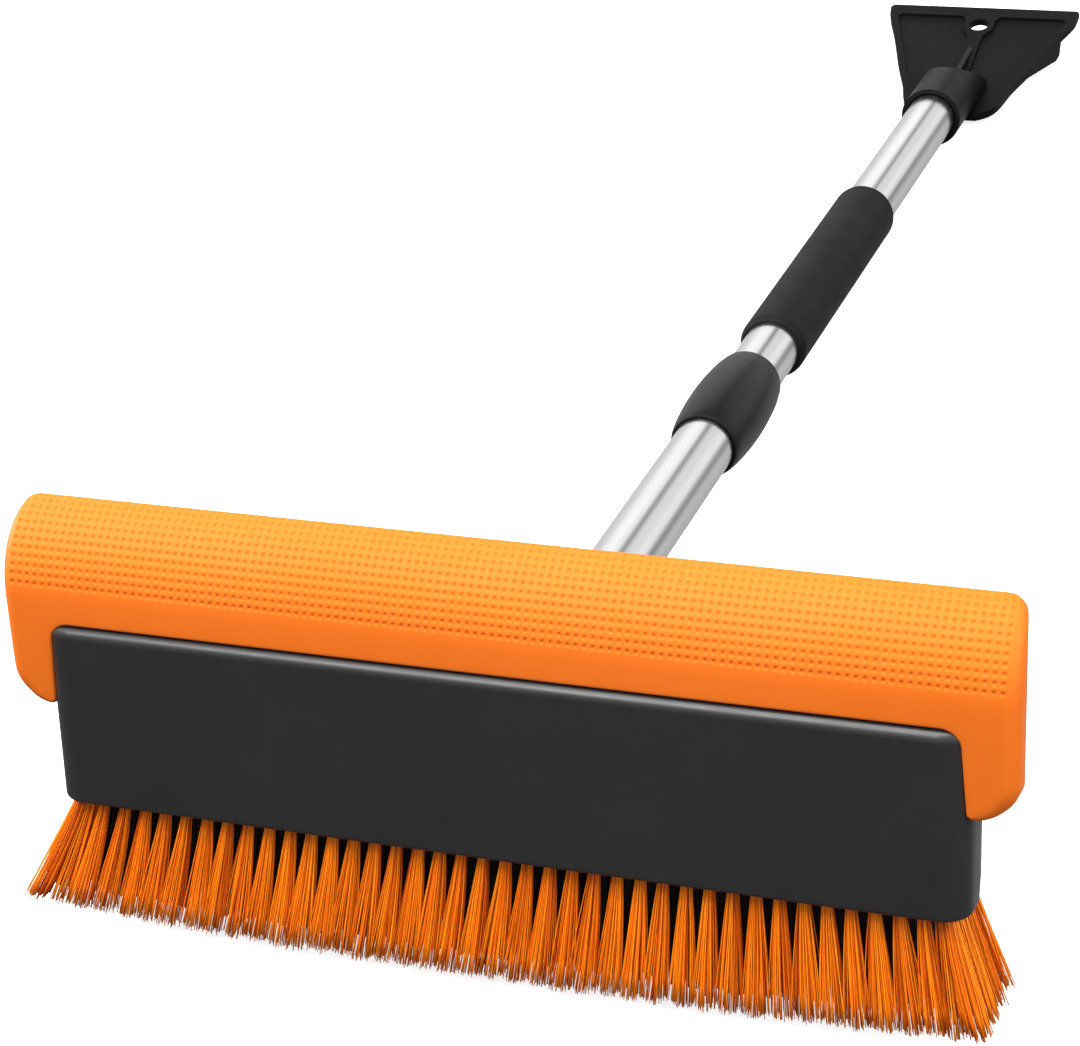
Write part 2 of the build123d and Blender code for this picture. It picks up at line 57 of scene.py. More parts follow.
def turn(v):
    """A direction of the head frame, in the row frame."""
    v = np.asarray(v, float)
    return np.stack([v[..., 0], v[..., 1] * CT + v[..., 2] * ST, -v[..., 1] * ST + v[..., 2] * CT], -1)


def row(p):
    return (turn(p) + np.array([0.0, ROW_DY, ROW_DZ])) * 0.001


def mesh_piece(name, verts_row, faces, smooth=True, weld=0.0):
    me = bpy.data.meshes.new(name)
    me.from_pydata([tuple(v) for v in verts_row], [], faces)
    me.update()
    o = bpy.data.objects.new(name, me)
    bpy.context.scene.collection.objects.link(o)
    if weld:
        import bmesh
        bm = bmesh.new()
        bm.from_mesh(me)
        bmesh.ops.remove_doubles(bm, verts=bm.verts, dist=weld)
        bmesh.ops.dissolve_degenerate(bm, dist=1e-7, edges=bm.edges)
        bmesh.ops.recalc_face_normals(bm, faces=bm.faces)
        bm.to_mesh(me)
        bm.free()
    if smooth:
        me.polygons.foreach_set("use_smooth", np.ones(len(me.polygons), bool))
    me.update()
    return o


# ---------------------------------------------------------------------------
# materials
# ---------------------------------------------------------------------------
def new_mat(name):
    m = bpy.data.materials.new(name)
    m.use_nodes = True
    nt = m.node_tree
    b = next(n for n in nt.nodes if n.type == "BSDF_PRINCIPLED")
    return m, nt, b


def add(nt, kind, **inputs):
    n = nt.nodes.new(kind)
    for k, v in inputs.items():
        n.inputs[k.replace("_", " ")].default_value = v
    return n


def coords(nt, scale=(1, 1, 1), rot=(0, 0, 0)):
    tc = nt.nodes.new("ShaderNodeTexCoord")
    mp = nt.nodes.new("ShaderNodeMapping")
    mp.inputs["Scale"].default_value = scale
    mp.inputs["Rotation"].default_value = rot
    nt.links.new(tc.outputs["Object"], mp.inputs["Vector"])
    return mp.outputs["Vector"]


def noise(nt, vec, scale, detail=3.0, rough=0.55):
    n = nt.nodes.new("ShaderNodeTexNoise")
    n.inputs["Scale"].default_value = scale
    n.inputs["Detail"].default_value = detail
    n.inputs["Roughness"].default_value = rough
    nt.links.new(vec, n.inputs["Vector"])
    return n.outputs["Fac"]


def ramp(nt, fac, stops):
    r = nt.nodes.new("ShaderNodeValToRGB")
    el = r.color_ramp.elements
    while len(el) < len(stops):
        el.new(0.5)
    for e, (p, c) in zip(el, stops):
        e.position = p
        e.color = (*c, 1) if len(c) == 3 else c
    nt.links.new(fac, r.inputs["Fac"])
    return r.outputs["Color"]


def mixed(nt, blend, fac, one, two):
    """Blend of two colours; either may be a socket or a plain colour."""
    m = nt.nodes.new("ShaderNodeMix")
    m.data_type = "RGBA"
    m.blend_type = blend
    nt.links.new(fac, m.inputs["Factor"])
    for name, c in (("A", one), ("B", two)):
        if isinstance(c, tuple):
            m.inputs[name].default_value = c
        else:
            nt.links.new(c, m.inputs[name])
    return m.outputs["Result"]


def spread(nt, fac, lo, hi, a=0.3, b=0.7):
    m = nt.nodes.new("ShaderNodeMapRange")
    m.inputs["From Min"].default_value = a
    m.inputs["From Max"].default_value = b
    m.inputs["To Min"].default_value = lo
    m.inputs["To Max"].default_value = hi
    nt.links.new(fac, m.inputs["Value"])
    return m.outputs["Result"]


def bump(nt, b, height, strength, distance):
    n = nt.nodes.new("ShaderNodeBump")
    n.inputs["Strength"].default_value = strength
    n.inputs["Distance"].default_value = distance
    nt.links.new(height, n.inputs["Height"])
    nt.links.new(n.outputs["Normal"], b.inputs["Normal"])


def plastic(name, dark, light, rough=(0.42, 0.52), grain=2600.0, strength=0.12, distance=0.00006, spec=0.5, blotch=9.0):
    """Moulded plastic: a fine spark-eroded grain, slow tone changes, and a roughness that varies a little."""
    m, nt, b = new_mat(name)
    v = coords(nt)
    slow = noise(nt, v, blotch, 2.0)
    fine = noise(nt, v, grain, 2.0)
    nt.links.new(ramp(nt, slow, [(0.3, dark), (0.7, light)]), b.inputs["Base Color"])
    nt.links.new(spread(nt, noise(nt, v, 60.0, 3.0), rough[0], rough[1]), b.inputs["Roughness"])
    bump(nt, b, fine, strength, distance)
    b.inputs["Specular IOR Level"].default_value = spec
    return m


def cap_rubber():
    m, nt, b = new_mat("cap_rubber")
    v = coords(nt)
    slow = noise(nt, v, 7.0, 2.0)
    nt.links.new(ramp(nt, slow, [(0.3, (0.71, 0.143, 0.012)), (0.7, (0.75, 0.154, 0.016))]), b.inputs["Base Color"])
    nt.links.new(spread(nt, noise(nt, v, 45.0, 3.0), 0.45, 0.53), b.inputs["Roughness"])
    bump(nt, b, noise(nt, v, 2200.0, 2.0), 0.06, 0.00005)
    b.inputs["Specular IOR Level"].default_value = 0.16
    b.inputs["Specular Tint"].default_value = (1.0, 0.8, 0.55, 1)
    return m


def bristle(name, lo, mid, hi, rough=0.36, spec=0.5):
    """Nylon filament: each strand has its own tone."""
    m, nt, b = new_mat(name)
    geo = nt.nodes.new("ShaderNodeNewGeometry")
    tone = ramp(nt, geo.outputs["Random Per Island"], [(0.0, lo), (0.28, mid), (1.0, hi)])
    v = coords(nt)
    streak = noise(nt, v, 260.0, 2.0)
    mix = nt.nodes.new("ShaderNodeMix")
    mix.data_type = "RGBA"
    mix.blend_type = "MULTIPLY"
    nt.links.new(spread(nt, streak, 0.0, 0.35), mix.inputs["Factor"])
    nt.links.new(tone, mix.inputs["A"])
    mix.inputs["B"].default_value = (0.75, 0.62, 0.55, 1)
    nt.links.new(mix.outputs["Result"], b.inputs["Base Color"])
    nt.links.new(spread(nt, noise(nt, v, 900.0, 1.0), rough - 0.05, rough + 0.08), b.inputs["Roughness"])
    b.inputs["Specular IOR Level"].default_value = spec
    return m


def aluminium(name):
    """Drawn satin aluminium: fine lines along the pole, so the noise is turned to the pole and stretched along it."""
    m, nt, b = new_mat(name)
    turned = coords(nt, rot=(math.radians(5.995), 0, 0))
    mp = nt.nodes.new("ShaderNodeMapping")
    mp.inputs["Scale"].default_value = (1.0, 0.004, 1.0)
    nt.links.new(turned, mp.inputs["Vector"])
    lines = noise(nt, mp.outputs["Vector"], 1700.0, 3.0, 0.6)
    nt.links.new(ramp(nt, lines, [(0.25, (0.80, 0.803, 0.81)), (0.75, (0.90, 0.902, 0.91))]), b.inputs["Base Color"])
    nt.links.new(spread(nt, noise(nt, mp.outputs["Vector"], 900.0, 2.0), 0.20, 0.27), b.inputs["Roughness"])
    b.inputs["Metallic"].default_value = 1.0
    bump(nt, b, lines, 0.05, 0.00002)
    return m


def foam(name):
    m, nt, b = new_mat(name)
    v = coords(nt)
    cells = nt.nodes.new("ShaderNodeTexVoronoi")
    cells.inputs["Scale"].default_value = 1500.0
    nt.links.new(v, cells.inputs["Vector"])
    slow = noise(nt, v, 14.0, 2.0)
    nt.links.new(ramp(nt, slow, [(0.3, (0.0046, 0.0046, 0.0046)), (0.7, (0.0066, 0.0065, 0.0065))]), b.inputs["Base Color"])
    nt.links.new(spread(nt, noise(nt, v, 70.0, 3.0), 0.50, 0.60), b.inputs["Roughness"])
    bump(nt, b, cells.outputs["Distance"], 0.22, 0.00012)
    b.inputs["Specular IOR Level"].default_value = 0.11
    return m


def steel(name):
    m, nt, b = new_mat(name)
    v = coords(nt)
    nt.links.new(ramp(nt, noise(nt, v, 180.0, 3.0), [(0.3, (0.50, 0.51, 0.53)), (0.7, (0.64, 0.65, 0.67))]), b.inputs["Base Color"])
    nt.links.new(spread(nt, noise(nt, v, 420.0, 2.0), 0.26, 0.40), b.inputs["Roughness"])
    b.inputs["Metallic"].default_value = 1.0
    bump(nt, b, noise(nt, v, 2600.0, 2.0), 0.08, 0.00004)
    return m


MAT = {
    "cap_rubber": cap_rubber(),
    "housing_plastic": plastic("housing_plastic", (0.0128, 0.0120, 0.0120), (0.0158, 0.0147, 0.0146), (0.34, 0.42), 2300.0, 0.16, 0.00007, 0.46),
    "board_plastic": plastic("board_plastic", (0.010, 0.010, 0.010), (0.014, 0.0135, 0.013), (0.55, 0.65), 1800.0),
    "bristle_orange": bristle("bristle_orange", (0.42, 0.040, 0.001), (0.98, 0.200, 0.002), (1.0, 0.31, 0.006), 0.36, 0.34),
    "bristle_black": bristle("bristle_black", (0.008, 0.008, 0.009), (0.018, 0.017, 0.017), (0.05, 0.048, 0.046), 0.3, 0.6),
    "screw_steel": steel("screw_steel"),
    "socket_plastic": plastic("socket_plastic", (0.016, 0.016, 0.0165), (0.021, 0.021, 0.0215), (0.42, 0.5)),
    "tube_aluminium": aluminium("tube_aluminium"),
    "lock_plastic": plastic("lock_plastic", (0.0036, 0.0035, 0.0035), (0.0050, 0.0048, 0.0048), (0.30, 0.37), 2500.0, 0.12, 0.00006, 0.21, 18.0),
    "bush_plastic": plastic("bush_plastic", (0.60, 0.60, 0.58), (0.68, 0.68, 0.66), (0.3, 0.38), 1500.0, 0.05),
    "grip_foam": foam("grip_foam"),
    "scraper_plastic": plastic("scraper_plastic", (0.0040, 0.0039, 0.0040), (0.0056, 0.0054, 0.0055), (0.36, 0.44), 2400.0, 0.12, 0.00006, 0.09, 16.0),
}
for sub in frame["record"]["subparts"]:
    o = nodes[sub["node"]]
    o.data.materials.clear()
    o.data.materials.append(MAT[sub["material_slot"]])

# ---------------------------------------------------------------------------
# the cap: a smooth moulded skin, its end walls, its underside, and a band of
# round dimples as real hollows
# ---------------------------------------------------------------------------
HALF, SIDE_Y, REAR, REAR_HALF = 206.5, 15.0, 48.8, 199.4
DOME_R, DOME_Z, RIDGE_Y, RIDGE_R = 38.0, 12.0, 25.3, 6.0
LOW, CUT = -37.0, 0.35
R_END, R_CUT, R_BACK = 6.9, 1.3, 3.0


def x_end(y):
    """Half length of the cap at depth y, with a soft turn where the taper starts."""
    y = np.asarray(y, float)
    s = (HALF - REAR_HALF) / (REAR - SIDE_Y)
    w = 6.0
    t = np.clip((y - (SIDE_Y - w)) / (2 * w), 0, 1)
    soft = s * w * t * t
    return HALF - np.where(y > SIDE_Y + w, s * (y - SIDE_Y), soft)


def build_profile():
    pts = []
    for z in np.linspace(LOW, DOME_Z, 120):
        pts.append((1.8 + 2.4 * ((DOME_Z - z) / (DOME_Z - LOW)) ** 1.35, z))
    yc, reach = 1.8 + DOME_R, DOME_R - RIDGE_R
    uy = (RIDGE_Y - yc) / reach
    uz = math.sqrt(1 - uy * uy)
    top = math.atan2(uz, -uy)
    for a in np.linspace(0, top, 140)[1:]:
        pts.append((yc - DOME_R * math.cos(a), DOME_Z + DOME_R * math.sin(a)))
    for a in np.linspace(-(math.pi / 2 - top), math.pi / 2 - top, 30)[1:]:
        pts.append((RIDGE_Y + RIDGE_R * math.sin(a), DOME_Z + reach * uz + RIDGE_R * math.cos(a)))
    for a in np.linspace(top, 0, 140)[1:]:
        pts.append((2 * RIDGE_Y - yc + DOME_R * math.cos(a), DOME_Z + DOME_R * math.sin(a)))
    for z in np.linspace(DOME_Z, LOW, 100)[1:]:
        pts.append((REAR, z))
    return np.array(pts)


PROF = build_profile()
PV = np.concatenate([[0], np.cumsum(np.hypot(*np.diff(PROF, axis=0).T))])
tang = np.gradient(PROF, PV, axis=0)
tang /= np.linalg.norm(tang, axis=1)[:, None]
PN = np.stack([-tang[:, 1], tang[:, 0]], 1)        # outward normal in (y, z)
V_TOTAL = PV[-1]


def prof(v):
    return np.stack([np.interp(v, PV, PROF[:, 0]), np.interp(v, PV, PROF[:, 1])], -1)


def prof_n(v):
    n = np.stack([np.interp(v, PV, PN[:, 0]), np.interp(v, PV, PN[:, 1])], -1)
    return n / np.linalg.norm(n, axis=-1)[..., None]


V_FRONT = lambda z: np.interp(z, PROF[:120, 1], PV[:120])
V_REAR = lambda z: np.interp(-z, -PROF[-100:, 1], PV[-100:])
V_CUT_F, V_CUT_R = float(V_FRONT(CUT)), float(V_REAR(CUT))
V12 = float(PV[119])

# dimple band
PITCH_X, PITCH_V, COLS, ROWS = 3.364, 3.577, 120, 23
BAND_V0 = V12 + 5.32 - PITCH_V / 2
BAND_V1 = BAND_V0 + ROWS * PITCH_V


def band_half(v):
    y = prof(v)[..., 0]
    return np.minimum(PITCH_X * COLS / 2, x_end(y) - 3.0)


# outline of the skin in (u, v) for the right side, from the middle of the front
# cut-out round to the middle of the rear one.  Each entry: u, v, kind, radius
def half_outline():
    out = []                     # (x, z) on the arm, side 'front'
    xi0, xi1 = 185.2, 187.0      # inner edge, top and bottom
    cx, cz, cr = xi0 - 8.0, CUT - 8.0, 8.0
    ceiling = [(x, CUT) for x in np.linspace(0, cx, 54)]
    arc1 = [(cx + cr * math.sin(a), cz + cr * math.cos(a)) for a in np.linspace(0, math.pi / 2, 10)[1:]]
    ri = 3.4
    edge = [(xi0 + (xi1 - xi0) * t, cz + (LOW + ri - cz) * t) for t in np.linspace(0, 1, 12)[1:]]
    arc2 = [(xi1 + ri - ri * math.cos(a), LOW + ri - ri * math.sin(a)) for a in np.linspace(0, math.pi / 2, 7)[1:]]
    ro = 16.0
    ox, oz = HALF - ro, LOW + ro
    arc3 = [(ox + ro * math.sin(a), oz - ro * math.cos(a)) for a in np.linspace(0, math.pi / 2, 20)[1:]]
    return ceiling + arc1 + edge + arc2, arc3, (ox, oz, ro)


INNER, CORNER, (OX, OZ, RO) = half_outline()
n_in, n_co = len(INNER), len(CORNER)
side_v = np.concatenate([np.linspace(V_FRONT(OZ), BAND_V0, 26)[1:-1],
                         BAND_V0 + np.arange(0, 2 * ROWS + 1) * PITCH_V / 2,
                         np.linspace(BAND_V1, V_REAR(OZ), 26)[1:]])
chain = []      # u, v, radius, kind (0 inner, 1 corner, 2 side), index in its own list
for i, (x, z) in enumerate(INNER):
    r = R_CUT
    if z < LOW + 6:
        r = R_CUT + (R_END - 3.6 - R_CUT) * max(0.0, (LOW + 3.4 - z) / 3.4) ** 2
    chain.append((x, float(V_FRONT(z)), r, 0))
for i, (x, z) in enumerate(CORNER):
    t = (i + 1) / n_co
    chain.append((x, float(V_FRONT(z)), R_END - 3.6 + 3.6 * min(1, 2.2 * t), 1))
for v in side_v[:-1]:
    y = float(prof(v)[0])
    t = np.clip((v - (BAND_V1 - 6)) / 26, 0, 1)
    chain.append((float(x_end(y)), float(v), R_END + (R_BACK - R_END) * float(t * t * (3 - 2 * t)), 2))
mid = len(chain)
rear_x = lambda x: min(x, float(x_end(REAR)))
chain.append((rear_x(HALF), float(V_REAR(OZ)), R_BACK, 3))
for x, z in reversed(CORNER[:-1]):
    chain.append((rear_x(x), float(V_REAR(z)), R_BACK, 3))
for x, z in reversed(INNER):
    chain.append((x, float(V_REAR(z)), R_CUT, 4))
chain = np.array(chain)
NCH = len(chain)

# the whole outline, closed: right half then the left half mirrored
right = chain[:, :2]
left = right[1:-1][::-1] * np.array([-1, 1])
outline = np.vstack([right, left])
o_rad = np.concatenate([chain[:, 2], chain[1:-1, 2][::-1]])
o_kind = np.concatenate([chain[:, 3], chain[1:-1, 3][::-1]])
NO = len(outline)
prev, nxt = np.roll(outline, 1, 0), np.roll(outline, -1, 0)
d = nxt - prev
d /= np.linalg.norm(d, axis=1)[:, None]
# inward normal: the outline runs counter-clockwise in (u, v)?
area = 0.5 * np.sum(outline[:, 0] * nxt[:, 1] - nxt[:, 0] * outline[:, 1])
inward = np.stack([-d[:, 1], d[:, 0]], 1) * (1 if area > 0 else -1)


def nearest(uv):
    """Distance to the outline, its index and the share along the next edge, for each point."""
    best = np.full(len(uv), 1e9)
    rad = np.zeros(len(uv))
    who = np.zeros(len(uv), int)
    for i in range(NO):
        a, b = outline[i], outline[(i + 1) % NO]
        ab = b - a
        L = ab @ ab
        if L < 1e-12:
            continue
        t = np.clip(((uv - a) @ ab) / L, 0, 1)
        q = a + t[:, None] * ab
        dist = np.hypot(*(uv - q).T)
        m = dist < best
        best[m] = dist[m]
        rad[m] = (o_rad[i] + t * (o_rad[(i + 1) % NO] - o_rad[i]))[m]
        who[m] = np.where(t[m] < 0.5, i, (i + 1) % NO)
    return best, rad, who


def inset(dist, r):
    k = np.clip(r - dist, 0, None)
    return r - np.sqrt(np.clip(r * r - k * k, 0, None))


def skin(uv):
    """Head-frame points of the skin for (u, v), with its edges rounded."""
    dist, r, who = nearest(uv)
    delta = inset(dist, r)
    p, n = prof(uv[:, 1]), prof_n(uv[:, 1])
    yz = p - n * delta[:, None]
    x = uv[:, 0].copy()
    outer = np.isin(o_kind[who], (1, 2, 3))
    shift = x_end(p[:, 0]) - x_end(yz[:, 0])
    x = x - np.where(outer, np.sign(x) * shift, 0)
    return np.stack([x, yz[:, 0], yz[:, 1]], 1), who


# points of the skin's domain
pts, edges = [tuple(p) for p in outline], [(i, (i + 1) % NO) for i in range(NO)]
bh0, bh1 = float(band_half(BAND_V0)), float(band_half(BAND_V1))
band_vs = BAND_V0 + np.arange(0, 2 * ROWS + 1) * PITCH_V / 2
band_us = np.linspace(-1, 1, 2 * COLS + 1)
hole = [(u * bh0, BAND_V0) for u in band_us]
hole += [(float(band_half(v)), float(v)) for v in band_vs[1:-1]]
hole += [(u * bh1, BAND_V1) for u in band_us[::-1]]
hole += [(-float(band_half(v)), float(v)) for v in band_vs[1:-1][::-1]]
h0 = len(pts)
pts += hole
edges += [(h0 + i, h0 + (i + 1) % len(hole)) for i in range(len(hole))]
hole_a = np.array(hole)


def in_hole(p, grow=0.35):
    return (BAND_V0 - grow < p[1] < BAND_V1 + grow) and abs(p[0]) < float(band_half(min(max(p[1], BAND_V0), BAND_V1))) + grow


for share in (0.03, 0.11, 0.25, 0.45, 0.7, 1.0):
    ring = []
    for i in range(NO):
        q = outline[i] + inward[i] * o_rad[i] * share
        ok = not in_hole(q)
        if ok and share > 0.2:
            dd = np.min(np.hypot(*(outline - q).T))
            ok = dd > o_rad[i] * share * 0.93
        ring.append(len(pts) if ok else -1)
        if ok:
            pts.append(tuple(q))
for u in np.arange(-198, 198.1, 4.4):
    for v in np.concatenate([np.arange(3.0, BAND_V0 - 1, 3.4), [BAND_V0 - 0.5], [BAND_V1 + 0.5], np.arange(BAND_V1 + 2.5, V_TOTAL - 2, 4.2)]):
        if abs(u) < 189 and (v < V_CUT_F + 1.8 or v > V_CUT_R - 1.8):
            continue
        y = float(prof(v)[0])
        if abs(u) > float(x_end(y)) - R_END - 0.6 or in_hole((u, v), 0.2):
            continue
        pts.append((float(u), float(v)))
pts_u, _, faces, _, _, _ = delaunay_2d_cdt([Vector(p) for p in pts], edges, [], 0, 1e-5)
uv = np.array([(p[0], p[1]) for p in pts_u])


def inside(poly, q):
    """Points-in-polygon test, vectorised over q."""
    x, y = q[:, 0], q[:, 1]
    res = np.zeros(len(q), bool)
    j = len(poly) - 1
    for i in range(len(poly)):
        xi, yi = poly[i]
        xj, yj = poly[j]
        if yi != yj:
            c = ((yi > y) != (yj > y)) & (x < (xj - xi) * (y - yi) / (yj - yi) + xi)
            res ^= c
        j = i
    return res


fa = np.array([list(f) for f in faces if len(f) == 3])
cen = uv[fa].mean(1)
keep = inside(outline, cen) & ~inside(hole_a, cen)
fa = fa[keep]
sk, who = skin(uv)
cap_v = [sk]
cap_f = [fa]
base = len(sk)
# exact boundary ring of the skin
ring_pts, _ = skin(outline)
right_ring = ring_pts[:NCH]


# underside and inner faces: front inner chain to rear inner chain
def block_half(y):
    y = np.asarray(y, float)
    out = np.where(y < 12, 189.25 - 12 + np.sqrt(np.clip(144 - (12 - np.clip(y, 0, 12)) ** 2, 0, None)), 189.25)
    out = np.where(y > 20, 189.25 - (189.25 - 184.4) * (y - 20) / 26, out)
    return np.where(y > 46.3, 0, out)


ts = np.array([0, 0.04, 0.10, 0.18, 0.28, 0.40, 0.55, 0.70, 0.85, 0.95, 1.0])
fr = right_ring[:n_in]
re = right_ring[::-1][:n_in]
grid = np.zeros((len(ts), n_in, 3))
for k, t in enumerate(ts):
    grid[k] = fr * (1 - t) + re * t
    y = grid[k][:, 1]
    w = np.clip((-1.0 - grid[k][:, 2]) / 7.0, 0, 1)
    push = np.maximum(grid[k][:, 0], block_half(y) + 0.3)
    if 0 < t < 1:
        grid[k][:, 0] = grid[k][:, 0] * (1 - w) + push * w


def grid_faces(nk, nj, start):
    f = []
    for k in range(nk - 1):
        for j in range(nj - 1):
            a = start + k * nj + j
            f.append((a, a + 1, a + nj + 1, a + nj))
    return f


quads = []
for sx in (1, -1):
    g = grid.reshape(-1, 3) * np.array([sx, 1, 1])
    quads.append((g, grid_faces(len(ts), n_in, 0)))

# end walls: domain (y, w); w is the height, and along the lower corner its arc
front_end = list(range(n_in - 1, n_in + n_co)) + list(range(n_in + n_co, mid))
rear_end = list(range(mid, NCH - n_in + 1))


def w_of(i):
    """Height-like coordinate of a chain entry on the end wall."""
    if i < n_in + n_co and i >= n_in - 1:
        k = i - (n_in - 1)
        return OZ - RO * (math.pi / 2) * (1 - k / n_co)
    if i >= mid:
        k = i - mid
        if k <= n_co:
            return OZ - RO * (math.pi / 2) * (k / n_co)
    return right_ring[i][2]


loop_i = front_end + rear_end
dom = [(right_ring[i][1], w_of(i)) for i in loop_i]
# bottom line from the rear back to the front, with the underside's depths
low_y = [grid[k][-1][1] for k in range(len(ts) - 2, 0, -1)]
dom += [(y, OZ - RO * math.pi / 2) for y in low_y]
dom_a = np.array(dom)
nd = len(dom)
dp, de = [tuple(p) for p in dom], [(i, (i + 1) % nd) for i in range(nd)]
for y in np.arange(8, 47, 3.6):
    for w in np.arange(-44.5, 46, 3.6):
        q = np.array([[y, w]])
        if inside(dom_a, q)[0] and np.min(np.hypot(*(dom_a - q[0]).T)) > 1.6:
            dp.append((float(y), float(w)))
ep, _, ef, _, _, _ = delaunay_2d_cdt([Vector(p) for p in dp], de, [], 0, 1e-5)
eq = np.array([(p[0], p[1]) for p in ep])
ef = np.array([list(f) for f in ef if len(f) == 3])
ef = ef[inside(dom_a, eq[ef].mean(1))]
ev = np.zeros((len(eq), 3))
for i, (y, w) in enumerate(eq):
    if w >= OZ:
        ev[i] = (x_end(y), y, w)
    else:
        al = (OZ - w) / RO
        x = OX + RO * math.cos(al)
        ev[i] = (min(x, float(x_end(y))), y, OZ - RO * math.sin(al))
for i, j in enumerate(loop_i):              # the shared rim, exactly
    ev[i] = right_ring[j]
for i in range(len(low_y)):
    ev[len(loop_i) + i] = grid[len(ts) - 2 - i][-1]

all_v, all_f = [sk], [tuple(f) for f in fa]
off = len(sk)
for g, f in quads:
    all_v.append(g)
    all_f += [tuple(a + off for a in q) for q in f]
    off += len(g)
for sx in (1, -1):
    all_v.append(ev * np.array([sx, 1, 1]))
    all_f += [tuple(int(a) + off for a in q) for q in ef]
    off += len(ev)
cap_body = mesh_piece("cap_body", row(np.vstack(all_v)), all_f, weld=2e-6)
cap_body.data.materials.append(MAT["cap_rubber"])
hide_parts("orange_cap")
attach(cap_body, "head")

# the dimple band: one round hollow in each cell
verts, faces_b = [], []
key = {}


def vert(u, v, depth):
    k = (round(u, 4), round(v, 4))
    if k not in key:
        key[k] = len(verts)
        verts.append((u, v, depth))
    return key[k]


RINGS = ((1.16, 0.0), (0.88, 0.24), (0.48, 0.56))
DEEP = 0.64
for r in range(ROWS):
    v0 = BAND_V0 + r * PITCH_V
    for c in range(COLS):
        def place(du, dv):
            v = v0 + PITCH_V / 2 + dv
            k = float(band_half(v)) / (PITCH_X * COLS / 2)
            return (((c - COLS / 2 + 0.5) * PITCH_X + du) * k, v)
        hx, hv = PITCH_X / 2, PITCH_V / 2
        rim = [(hx, 0), (hx, hv), (0, hv), (-hx, hv), (-hx, 0), (-hx, -hv), (0, -hv), (hx, -hv)]
        loops = [[vert(*place(*q), 0.0) for q in rim]]
        for rr, dep in RINGS:
            loops.append([vert(*place(rr * math.cos(k * math.pi / 4), rr * math.sin(k * math.pi / 4)), dep) for k in range(8)])
        for a, b in zip(loops, loops[1:]):
            for k in range(8):
                faces_b.append((a[k], a[(k + 1) % 8], b[(k + 1) % 8], b[k]))
        m = vert(*place(0, 0), DEEP)
        for k in range(8):
            faces_b.append((loops[-1][k], loops[-1][(k + 1) % 8], m))
bv = np.array(verts)
bp, _ = skin(bv[:, :2])
bn = prof_n(bv[:, 1])
bp[:, 1] -= bn[:, 0] * bv[:, 2]
bp[:, 2] -= bn[:, 1] * bv[:, 2]
band = mesh_piece("cap_dimple_band", row(bp), faces_b)
band.data.materials.append(MAT["cap_rubber"])
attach(band, "head")

# ---------------------------------------------------------------------------
# bristles: every tuft is a bundle of separate tapered filaments
# ---------------------------------------------------------------------------
BOARD, TIP = -74.0, -131.0
ROW_Y = (9.0, 18.2, 27.4, 36.6)
TUFT_PITCH, TUFTS = 9.2, 38
SCREW_X, SCREW_Y = (-160.0, -55.0, 55.0, 160.0), 22.8


def filaments(name, tufts, rng, sides=5, segs=6, r0=0.29, r1=0.22, ease=1.12):
    """tufts: list of dicts with root, tip centre, spreads and a filament count."""
    V, F = [], []
    ang = np.arange(sides) * 2 * math.pi / sides
    for t in tufts:
        n = t["n"]
        # sunflower packing at the root, the same order spread wider at the tip
        k = np.arange(n) + 0.5
        rad = np.sqrt(k / n)
        th = k * 2.399963 + rng.uniform(0, 6.28)
        sx, sy = rad * np.cos(th), rad * np.sin(th)
        root = np.array(t["root"]) + np.stack([sx * t["root_r"], sy * t["root_r"], np.zeros(n)], 1)
        stray = np.where(rng.random(n) < 0.08, 1.35, 1.0)
        jx, jy = rng.normal(0, 0.5, n), rng.normal(0, 0.5, n)
        tip = np.array(t["tip"]) + np.stack([sx * t["tip_x"] * stray + jx, sy * t["tip_y"] * stray + jy, rng.uniform(-1.5, 1.3, n) - np.abs(rng.normal(0, 0.35, n)) * 0], 1)
        # outer filaments are a little shorter at the tip, as a fanned bundle is
        tip[:, 2] += 2.2 * rad ** 2
        # keep off the floor the tool lies on
        for i in range(n):
            lo = row(tip[i])[2]
            if lo < 0.0006:
                tip[i, 2] += (0.0006 - lo) * 1000 / CT
        bow = np.stack([sx * 0.55, sy * 0.55, np.zeros(n)], 1) + rng.normal(0, 0.22, (n, 3)) * np.array([1, 1, 0])
        for i in range(n):
            axis = tip[i] - root[i]
            length = np.linalg.norm(axis)
            axis = axis / length
            side = np.cross(axis, [0, 1, 0])
            side /= np.linalg.norm(side)
            up = np.cross(side, axis)
            start = len(V)
            for s in range(segs + 1):
                q = s / segs
                lean = q ** ease
                c = root[i] + (tip[i] - root[i]) * np.array([lean, lean, q]) + bow[i] * math.sin(math.pi * q)
                r = r0 + (r1 - r0) * q
                for a in ang:
                    V.append(c + side * r * math.cos(a) + up * r * math.sin(a))
            for s in range(segs):
                for a in range(sides):
                    b = (a + 1) % sides
                    F.append((start + s * sides + a, start + s * sides + b, start + (s + 1) * sides + b, start + (s + 1) * sides + a))
            F.append(tuple(start + segs * sides + a for a in range(sides)))
            F.append(tuple(start + a for a in reversed(range(sides))))
    return mesh_piece(name, row(np.array(V)), F)


LEAN_X = ((-176, -16), (-168, -14.0), (-150, -11.5), (-120, -9), (-60, -7.5), (0, -6.5), (60, -3.5), (100, 0), (140, 5), (172, 9.5))


def lean_at(x):
    return float(np.interp(x, [p[0] for p in LEAN_X], [p[1] for p in LEAN_X]))


